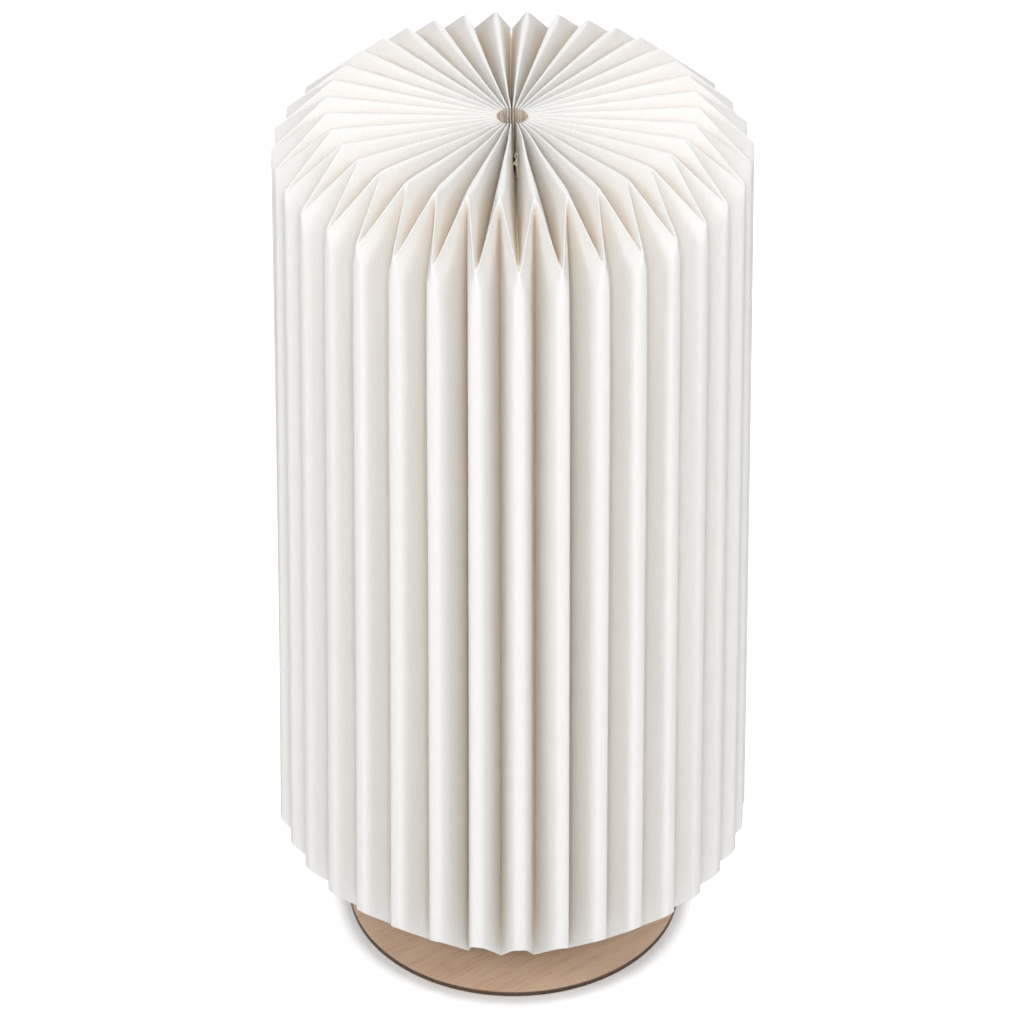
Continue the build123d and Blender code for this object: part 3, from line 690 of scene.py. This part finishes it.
def painted_crease_shading(points, crease, travel, browned):
    """Depth of painted shade at each point: 0 on the crests that face out, 1 at the darkest."""
    width = np.linalg.norm(np.roll(crease, -1, axis=1) - crease, axis=-1)[..., None]
    gone = np.clip(np.linalg.norm(points - crease[:, :, None], axis=-1) / width, 0, 1)
    to_valley = np.where(IS_RIDGE[None, :, None], gone, 1 - gone)
    travel = travel[..., None]
    side_length = TIP_HEIGHT - HEM_TIP_HEIGHT
    below_top = np.clip((travel - 1) * side_length / SIDE_RUN, 0, 1)
    above_hem = np.clip((2 - travel) * side_length / HEM_RUN, 0, 1)
    inside_top = np.clip((1 - travel) * TIP_RADIUS / TOP_RUN, 0, 1)
    at_eye = np.clip(1 - travel * TIP_RADIUS / EYE_RUN, 0, 1)
    innermost = np.where(travel > 1, to_valley, 1 - to_valley)
    # A dark painted line of shade along the bottom of every crease.
    line = LINE_DEPTH * np.clip((innermost - 1 + LINE_WIDTH) / LINE_WIDTH, 0, 1)
    side = SIDE_DEPTH * to_valley * below_top + line
    side *= HEM_SHARE + (1 - HEM_SHARE) * above_hem
    top = TOP_DEPTH * (1 - to_valley) ** TOP_FALLOFF + TOP_LINE_SHARE * line
    # The eye's edge gets painted shade; browned is a random share of it, fold by fold.
    eye = EYE_DEPTH * to_valley + browned[None, :, None]
    return np.where(travel > 1, side, top * inside_top + eye * at_eye)


def build_shade():
    stray = strayed_folds()
    crease, sideways, travel = crease_lines(stray)
    points = sheet_points(crease, sideways, travel, stray)
    # Painted shade: darker, warmer tones in the creases and round the eye, carried to the paper's
    # finish.
    depth = painted_crease_shading(points, crease, travel, stray["browned"])
    mesh = ring_mesh("paper_shade", points.reshape(len(points), -1, 3) * MM)
    mark = mesh.attributes.new("painted_shade_depth", "FLOAT", "POINT")
    mark.data.foreach_set("value", depth.ravel().astype(np.float32))
    finishes = [paper_paint("paper"), paper_paint("paper_inside", from_inside=True)]
    piece = add_piece("paper_shade", mesh, finishes, "shade", ["pleated_shade"])
    wall = thicken(piece, PAPER_THICKNESS)
    wall.material_offset = 1  # the second finish, on the side that faces in


# ---------------------------------------------------------------- gathering thread
def twisted_ring(level):
    """Two strands that wind round each other along the ring."""
    turns = np.linspace(0, 2 * math.pi, STRING_LAYS * LAY_STEPS, endpoint=False)
    outward = ring_row(turns, 1.0, 0.0)
    middle = ring_row(turns, STRING_RING_RADIUS, level)
    strands = []
    for strand in (0, math.pi):
        twist = (turns * STRING_LAYS + strand)[:, None]
        away = outward * np.cos(twist) + np.array((0, 0, 1)) * np.sin(twist)
        centre = middle + away * STRAND_OFFSET
        strands.append(tube_parts(centre, STRAND_RADIUS, RING_SIDES, closed=True))
    return strands


def tied_ends(level):
    """The knot in the front valley, with a bow above it and a tail below."""
    along = FRONT + SHADE_TURN + KNOT_SHIFT / STRING_RING_RADIUS
    out = np.array((math.cos(along), math.sin(along), 0))
    side = np.array((-math.sin(along), math.cos(along), 0))
    up = np.array((0, 0, 1))
    knot = out * STRING_RING_RADIUS + up * level

    def placed(sideways, upward, outwards):
        return knot + np.outer(sideways, side) + np.outer(upward, up) + np.outer(outwards, out)

    t = np.linspace(0, 2 * math.pi, KNOT_STEPS, endpoint=False)
    trefoil = placed(
        KNOT_SIZE * (np.sin(t) + 2 * np.sin(2 * t)),
        KNOT_SIZE * (np.cos(t) - 2 * np.cos(2 * t)),
        -KNOT_SIZE * np.sin(3 * t),
    )
    t = np.linspace(0, math.pi, BOW_STEPS)
    bow = placed(
        BOW_WIDTH / 2 * np.sin(2 * t) * np.sin(t),
        BOW_HEIGHT * np.sin(t) ** BOW_ROUNDING,
        -BOW_CURL * np.sin(t),
    )
    t = np.linspace(0, 1, TAIL_STEPS)
    tail = placed(
        TAIL_SWAY * np.sin(3 * t),
        -TAIL_DROP * t,
        TAIL_LEAN * t + TAIL_CURL * np.sin(2.5 * t),
    )
    return [
        tube_parts(trefoil, STRAND_RADIUS, closed=True),
        tube_parts(bow, STRAND_RADIUS),
        tube_parts(tail, TAIL_RADIUS),
    ]


def build_thread():
    across = (STRING_RING_RADIUS - HUB_RADIUS) / (CORNER_RADIUS - HUB_RADIUS)
    crest = HUB_RIM_HEIGHT + (SHADE_TOP - HUB_RIM_HEIGHT) * across
    level = crest - STRING_DEPTH * pleat_depth(TOP_PANEL, STRING_RING_RADIUS)
    mesh = joined_mesh("gathering_thread", twisted_ring(level) + tied_ends(level))
    add_piece("gathering_thread", mesh, [thread_paint()], "shade", ["tie_string"])


# ---------------------------------------------------------------- felt pads
def build_felt():
    _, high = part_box("felt_pads")
    chance = np.random.default_rng(PAD_SEED)
    turns = np.linspace(0, 2 * math.pi, PAD_SIDES, endpoint=False)
    parts = []
    for pad in range(PAD_COUNT):
        angle = -FRONT + 2 * math.pi * pad / PAD_COUNT
        middle = np.array((math.cos(angle), math.sin(angle), 0)) * PAD_CIRCLE
        edge = 1 - PAD_FUZZ * np.abs(chance.normal(0, 1, PAD_SIDES))
        rows = []
        for share, rise in reversed(PAD_PROFILE):
            rows.append(ring_row(turns, PAD_RADIUS * share * edge, high.z / MM * rise) + middle)
        points = np.array(rows).reshape(-1, 3)
        parts.append((points, ring_faces(len(rows), PAD_SIDES).tolist()))
    mesh = joined_mesh("felt_feet", parts)
    add_piece("felt_feet", mesh, [felt_paint()], "base", ["felt_pads"])


# ---------------------------------------------------------------- rolled screw threads
def upright(radius, bottom, top):
    """Profile of an upright wall, in steps fine enough for a thread."""
    heights = np.arange(bottom, top, THREAD_PITCH / THREAD_STEPS)
    return [(radius, height) for height in heights] + [(radius, top)]


def rolled_wall(profile, starts, ends):
    """Rows of a turned wall whose threads are rolled between two heights, fading at each end."""
    turns = np.linspace(0, 2 * math.pi, THREAD_SIDES, endpoint=False)
    rows = []
    for radius, height in profile:
        fade_in = np.clip((height - starts) / THREAD_FADE, 0, 1)
        fade_out = np.clip((ends - height) / THREAD_FADE, 0, 1)
        wave = 0.5 - 0.5 * np.cos(2 * math.pi * height / THREAD_PITCH - turns)
        reach = radius - THREAD_DEPTH * wave * (fade_in * fade_out)
        rows.append(ring_row(turns, reach, height))
    return np.array(rows[::-1]) * MM


def build_cap(nickel):
    low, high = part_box("bulb_cap")
    bottom, top, radius = low.z / MM, high.z / MM, high.x / MM
    profile = [
        (CAP_LIP_RADIUS, bottom + CAP_WALL),
        (CAP_LIP_RADIUS + CAP_WALL, bottom),
        (radius - CAP_BEVEL_WIDTH, bottom + CAP_BEVEL_HEIGHT),
    ]
    profile += upright(radius, bottom + CAP_SHOULDER, top)
    points = rolled_wall(profile, bottom + CAP_SHOULDER, top - CAP_COLLAR)
    mesh = ring_mesh("threaded_cap", points)
    piece = add_piece("threaded_cap", mesh, [nickel], "bulb", ["bulb_cap"])
    thicken(piece, CAP_WALL, -1.0)


def build_shell(brass):
    low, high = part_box("screw_shell")
    bottom, top, radius = low.z / MM, high.z / MM, high.x / MM
    profile = [
        (SHELL_EYE_RADIUS, bottom),
        (radius - SHELL_FLOOR_INSET, bottom),
        (radius - SHELL_BEVEL, bottom + SHELL_BEVEL),
    ]
    profile += upright(radius, bottom + SHELL_CURB, top)
    points = rolled_wall(profile, bottom + SHELL_FOOT, top - SHELL_FLARE)
    mesh = ring_mesh("threaded_shell", points)
    piece = add_piece("threaded_shell", mesh, [brass], "base", ["screw_shell"])
    thicken(piece, SHELL_WALL, -1.0)


# ---------------------------------------------------------------- finishes of the solids
def paint_nodes(material, *names):
    for name in names:
        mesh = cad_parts[name].data
        mesh.materials.clear()
        mesh.materials.append(material)


def finish_solids(nickel, brass):
    paint_nodes(wood_paint("plywood", DISC_RADIUS), "base_disc")
    paint_nodes(wood_paint("plywood_riser", RISER_RADIUS), "riser_disc")
    wire = plain_paint("wire", (0.82, 0.81, 0.79), 0.38, grain=700.0, depth=0.00004)
    legs = [f"frame_leg_{number}" for number in range(1, 5)]
    paint_nodes(wire.material, "frame_ring", *legs)
    plastic = plain_paint("holder_plastic", (0.80, 0.79, 0.765), 0.42, depth=0.00003)
    paint_nodes(plastic.material, "holder_base", "holder_cover")
    ceramic = plain_paint("ceramic", (0.78, 0.76, 0.71), 0.55, depth=0.00005)
    paint_nodes(ceramic.material, "contact_block")
    paint_nodes(brass, "centre_contact", "shell_rivets", "terminals")
    paint_nodes(nickel, "bulb_contact")
    steel = plain_paint("steel", (0.66, 0.66, 0.67), 0.3, 1.0)
    paint_nodes(steel.material, "terminal_screws", "holder_screws")
    bush = plain_paint("bush", (0.10, 0.10, 0.10), 0.7, drift=0.2)
    paint_nodes(bush.material, "cord_inlet")
    glass = plain_paint("glass_black", (0.05, 0.05, 0.06), 0.2, drift=0.3)
    paint_nodes(glass.material, "bulb_insulator")
    housing = plain_paint("bulb_plastic", (0.83, 0.83, 0.82), 0.4)
    paint_nodes(housing.material, "bulb_housing")
    paint_nodes(opal_paint(), "bulb_globe")
    board = plain_paint("board_metal", (0.88, 0.88, 0.87), 0.5)
    paint_nodes(board.material, "led_board")
    phosphor = plain_paint("phosphor", (0.93, 0.78, 0.25), 0.4)
    paint_nodes(phosphor.material, "led_chips")
    driver = plain_paint("board_green", (0.10, 0.32, 0.18), 0.4)
    paint_nodes(driver.material, "driver_board")
    capacitor = plain_paint("capacitor", (0.12, 0.13, 0.16), 0.35)
    paint_nodes(capacitor.material, "driver_capacitor")
    paint_nodes(winding_paint(), "driver_coil")


# ---------------------------------------------------------------- stage
def build_camera():
    camera = bpy.data.objects.new("camera", bpy.data.cameras.new("camera"))
    bpy.context.scene.collection.objects.link(camera)
    camera.data.lens = CAMERA_LENS
    camera.data.sensor_width = SENSOR_WIDTH
    camera.data.clip_start = CAMERA_NEAR
    camera.data.clip_end = CAMERA_FAR
    tilt = Matrix.Rotation(math.pi / 2 - CAMERA_PITCH, 4, "X")
    roll = Matrix.Rotation(-CAMERA_ROLL, 4, "Z")
    camera.matrix_world = Matrix.Translation(CAMERA_PLACE) @ tilt @ roll
    bpy.context.scene.camera = camera


def seen_directly(tree):
    """1 for rays from the camera, off a gloss or through glass, else 0."""
    path = tree.nodes.new("ShaderNodeLightPath")
    total = path.outputs["Is Camera Ray"]
    for name in ("Is Glossy Ray", "Is Transmission Ray"):
        either = tree.nodes.new("ShaderNodeMath")
        either.operation = "MAXIMUM"
        tree.links.new(total, either.inputs[0])
        tree.links.new(path.outputs[name], either.inputs[1])
        total = either.outputs[0]
    return total


def build_floor():
    bpy.ops.mesh.primitive_plane_add(size=FLOOR_SIZE, location=(0, 0, 0))
    floor = bpy.context.object
    floor.name = "floor"
    paint = Paint("floor", roughness=0.9)
    paint.shader.inputs["Base Color"].default_value = (0.92, 0.92, 0.92, 1)
    paint.shader.inputs["Specular IOR Level"].default_value = 0.0
    paint.shader.inputs["Emission Color"].default_value = (1, 1, 1, 1)
    away = paint.node("ShaderNodeVectorMath", operation="LENGTH")
    paint.link(paint.place, away.inputs[0])
    white = [(distance, (share, share, share)) for distance, share in FLOOR_GLOW]
    # Painted shadow: less white near the disc makes a darker ring round it.
    spread = paint.ramp(away.outputs["Value"], white)
    glow = paint.math("MULTIPLY", seen_directly(paint.tree), spread)
    paint.link(glow, paint.shader.inputs["Emission Strength"])
    floor.data.materials.append(paint.material)


def build_world():
    world = bpy.data.worlds.new("world")
    bpy.context.scene.world = world
    world.use_nodes = True
    tree = world.node_tree
    background = tree.nodes["Background"]
    background.inputs["Color"].default_value = (1, 1, 1, 1)
    strength = tree.nodes.new("ShaderNodeMapRange")
    strength.inputs["To Min"].default_value = SKY_LIGHT
    strength.inputs["To Max"].default_value = 1.0
    tree.links.new(seen_directly(tree), strength.inputs["Value"])
    tree.links.new(strength.outputs["Result"], background.inputs["Strength"])


def add_softbox(name, place, size, power):
    """A flat lamp that faces the shade."""
    light = bpy.data.lights.new(name, "AREA")
    light.shape = "RECTANGLE"
    light.size, light.size_y = size
    light.energy = power
    lamp = bpy.data.objects.new(name, light)
    bpy.context.scene.collection.objects.link(lamp)
    lamp.location = place
    aim = Vector(LAMP_AIM) - Vector(place)
    lamp.rotation_euler = aim.to_track_quat("-Z", "Y").to_euler()


build_camera()
build_floor()
build_world()
add_softbox("key", KEY_PLACE, KEY_SIZE, KEY_POWER)
add_softbox("left", LEFT_PLACE, WING_SIZE, LEFT_POWER)
add_softbox("right", RIGHT_PLACE, WING_SIZE, RIGHT_POWER)
add_softbox("top", TOP_PLACE, TOP_SIZE, TOP_POWER)
add_softbox("back", BACK_PLACE, BACK_SIZE, BACK_POWER)
build_shade()
build_thread()
build_felt()
nickel = plain_paint("nickel", (0.77, 0.76, 0.74), 0.28, 1.0, depth=0.00003).material
brass = plain_paint("brass", (0.80, 0.62, 0.33), 0.3, 1.0, depth=0.00003).material
build_cap(nickel)
build_shell(brass)
finish_solids(nickel, brass)
bpy.context.scene.view_settings.view_transform = "Standard"
